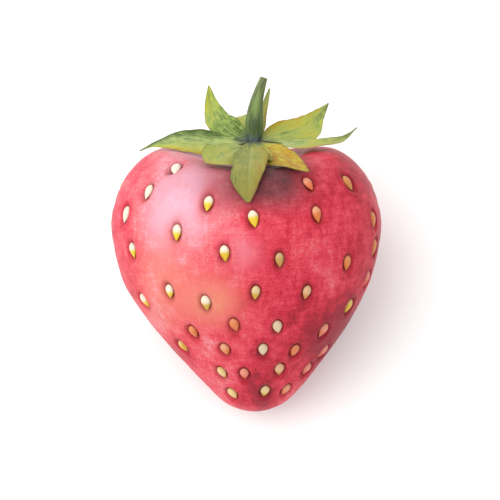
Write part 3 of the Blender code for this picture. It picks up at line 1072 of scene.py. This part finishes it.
def add_leaves():
    """One piece for each blade. Its tone follows the leaf's marks, and its edges add their own."""
    green = leaf_material()
    for seed, leaf in enumerate(LEAVES):
        points, s, x, half, reach = blade_form(leaf, seed)
        root, middle, tip, lesser, greater = leaf.tones
        edge = np.where(x < 0, lesser, greater) * np.abs(x) ** 1.3 * smooth_step(0, 0.3, s)
        fields = {
            "along": s * 2,
            "across": x * half / 2,
            "tone": np.interp(s, LEAF_MARKS, (root, middle, tip)) + edge,
            "rib": np.exp(-((x * half / RIB_WIDTH) ** 2)) * smooth_step(0.95, 0.5, s),
            # painted shade near the stalk, where the blades meet
            "foot": np.broadcast_to(0.85 * smooth_step(3.4, 0.9, reach), s.shape),
            "dust": np.interp(s, LEAF_MARKS, leaf.dust),
            "milk": np.interp(s, LEAF_MARKS, leaf.milk) * (1 - x**2),
            "hem": smooth_step(0.22, 0.04, (1 - np.abs(x)) * half) * smooth_step(0.05, 0.2, s),
            "seed": np.full(s.shape, seed * 3.1),
        }
        mesh = ringed_mesh(leaf.name, points, fields)
        add_piece(leaf.name + "_blade", mesh, green, [leaf.name])


def add_calyx_disc(stalk_green):
    """The seat of the calyx: a profile of (radius, height) carried round the stalk, with ten soft ribs."""
    profile = (
        (0.0, DISC_BOTTOM),
        (DISC_RADIUS * 0.9, DISC_BOTTOM + 0.05),
        (DISC_RADIUS, DISC_BOTTOM + 0.7),
        (DISC_RADIUS * 0.96, DISC_TOP - 0.45),
        (DISC_RADIUS * 0.8, DISC_TOP - 0.05),
        (0.0, DISC_TOP + 0.1),
    )
    s, angle = ring_grid(DISC_ROWS, DISC_COLUMNS)
    radius, height = np.moveaxis(through(profile, s), -1, 0)
    radius = np.maximum(radius, 0) * (1 + 0.04 * np.cos(10 * angle))
    points = np.stack([STALK_SIDE + radius * np.cos(angle), radius * np.sin(angle), height], axis=-1)
    # the seat takes the stalk's dark grey blue: painted shade under the leaves
    mesh = ringed_mesh("calyx_disc", points, {"along": 0.22 + 0.1 * np.cos(5 * angle), "across": angle})
    add_piece("calyx_seat", mesh, stalk_green, ["calyx_disc"])


def add_peduncle(stalk_green):
    """The stalk: rings along its middle line, with six soft ribs that twist a little, a slim foot and a
    cut end that is dished towards its middle."""
    s, angle = ring_grid(STALK_ROWS, STALK_COLUMNS)
    line = through(PEDUNCLE, s[:, 0])
    centre = line[:, :3]
    radius = line[:, 3] / 2
    along = unit(np.gradient(centre, axis=0))
    side = unit(np.cross(along, (0.0, 1.0, 0.0)))
    front = np.cross(along, side)
    ribs = 1 + 0.05 * np.cos(6 * angle + 2.5 * s) + 0.03 * np.cos(3 * angle + 1)
    reach = radius[:, None] * ribs
    sideways = side[:, None] * (reach * np.cos(angle))[..., None]
    forwards = front[:, None] * (reach * np.sin(angle))[..., None]
    points = centre[:, None] + sideways + forwards
    end = [centre[-1] + (points[-1] - centre[-1]) * share + along[-1] * depth for share, depth in CUT_DISH]
    cut_rings = np.full((len(CUT_DISH), STALK_COLUMNS), 1.0)
    fields = {
        "along": np.vstack([s[:1], s, cut_rings]),
        "across": 1.5 * np.sin(np.vstack([angle[:1], angle, cut_rings * angle[-1:]])),
    }
    mesh = ringed_mesh("peduncle", np.concatenate([points[:1], points, end]), fields)
    add_piece("stalk", mesh, stalk_green, ["peduncle"])


# ---- floor, light and camera ----


FLOOR_REACH = 2.0
FLOOR_WASH = {"Blot size": 3.0, "Grain size": 0.4, "Blots": 0.05, "Grain": 0.05}


def add_floor():
    corners = [(FLOOR_REACH * x, FLOOR_REACH * y, 0) for x, y in ((-1, -1), (1, -1), (1, 1), (-1, 1))]
    mesh = bpy.data.meshes.new("floor")
    mesh.from_pydata(corners, [], [(0, 1, 2, 3)])
    floor = bpy.data.objects.new("floor", mesh)
    bpy.context.scene.collection.objects.link(floor)
    material, tree, shader = new_material("pale_floor")
    shader["Base Color"].default_value = (0.92, 0.92, 0.92, 1)
    shader["Roughness"].default_value = 0.8
    wash = use_group(tree, WASH, FLOOR_WASH)
    bump(tree, shader, wash["Height"], strength=0.15, distance=0.2)
    mesh.materials.append(material)


def add_light(name, place, aim, size, power, colour):
    light = bpy.data.lights.new(name, "AREA")
    light.size = size
    light.energy = power
    light.color = colour
    lamp = bpy.data.objects.new(name, light)
    lamp.location = place
    bpy.context.scene.collection.objects.link(lamp)
    away = lamp.location - aim
    lamp.rotation_euler = away.to_track_quat("Z", "Y").to_euler()


LIGHT_WAY = np.array([-0.56, 0.04, 0.83])
LIGHT_AWAY = 0.6
LIGHT_SIZE = 0.7
LIGHT_POWER = 3.4
LIGHT_COLOUR = (1.0, 0.98, 0.96)
ROOM_STRENGTH = 1.02


def add_lights():
    """A broad soft light from above and a little to the left, and an even white room."""
    low, high = cad_bounds
    middle = (low + high) / 2
    place = middle + Vector(LIGHT_WAY * LIGHT_AWAY)
    add_light("key", place, middle, LIGHT_SIZE, LIGHT_POWER, LIGHT_COLOUR)
    world = bpy.data.worlds.new("room")
    world.use_nodes = True
    background = world.node_tree.nodes["Background"].inputs
    background["Color"].default_value = (1, 1, 1, 1)
    background["Strength"].default_value = ROOM_STRENGTH
    bpy.context.scene.world = world
    bpy.context.scene.view_settings.view_transform = "Standard"


CAMERA_PITCH = np.radians(10)
CAMERA_AWAY = 400.0
VIEW_MIDDLE = (0.4, -4.2)
VIEW_WIDTH = 74.6


def add_camera():
    """A long lens that looks down on the berry, a little from its calyx end."""
    look = np.array([0, np.cos(CAMERA_PITCH), -np.sin(CAMERA_PITCH)])
    up = np.array([0, np.sin(CAMERA_PITCH), np.cos(CAMERA_PITCH)])
    middle = np.array([VIEW_MIDDLE[0], 0, 0]) + up * VIEW_MIDDLE[1]
    lens = bpy.data.cameras.new("camera")
    lens.lens = lens.sensor_width / 2 / (VIEW_WIDTH / 2 / CAMERA_AWAY)
    lens.clip_start = 0.01
    camera = bpy.data.objects.new("camera", lens)
    camera.location = to_world(middle - look * CAMERA_AWAY)
    away = BERRY_AXES.T @ -look
    camera.rotation_euler = Vector(-away).to_track_quat("-Z", "Y").to_euler()
    bpy.context.scene.collection.objects.link(camera)
    bpy.context.scene.camera = camera


add_camera()
add_lights()
add_floor()
add_flesh()
add_achenes()
add_leaves()
STALK_GREEN = stalk_material()
add_calyx_disc(STALK_GREEN)
add_peduncle(STALK_GREEN)
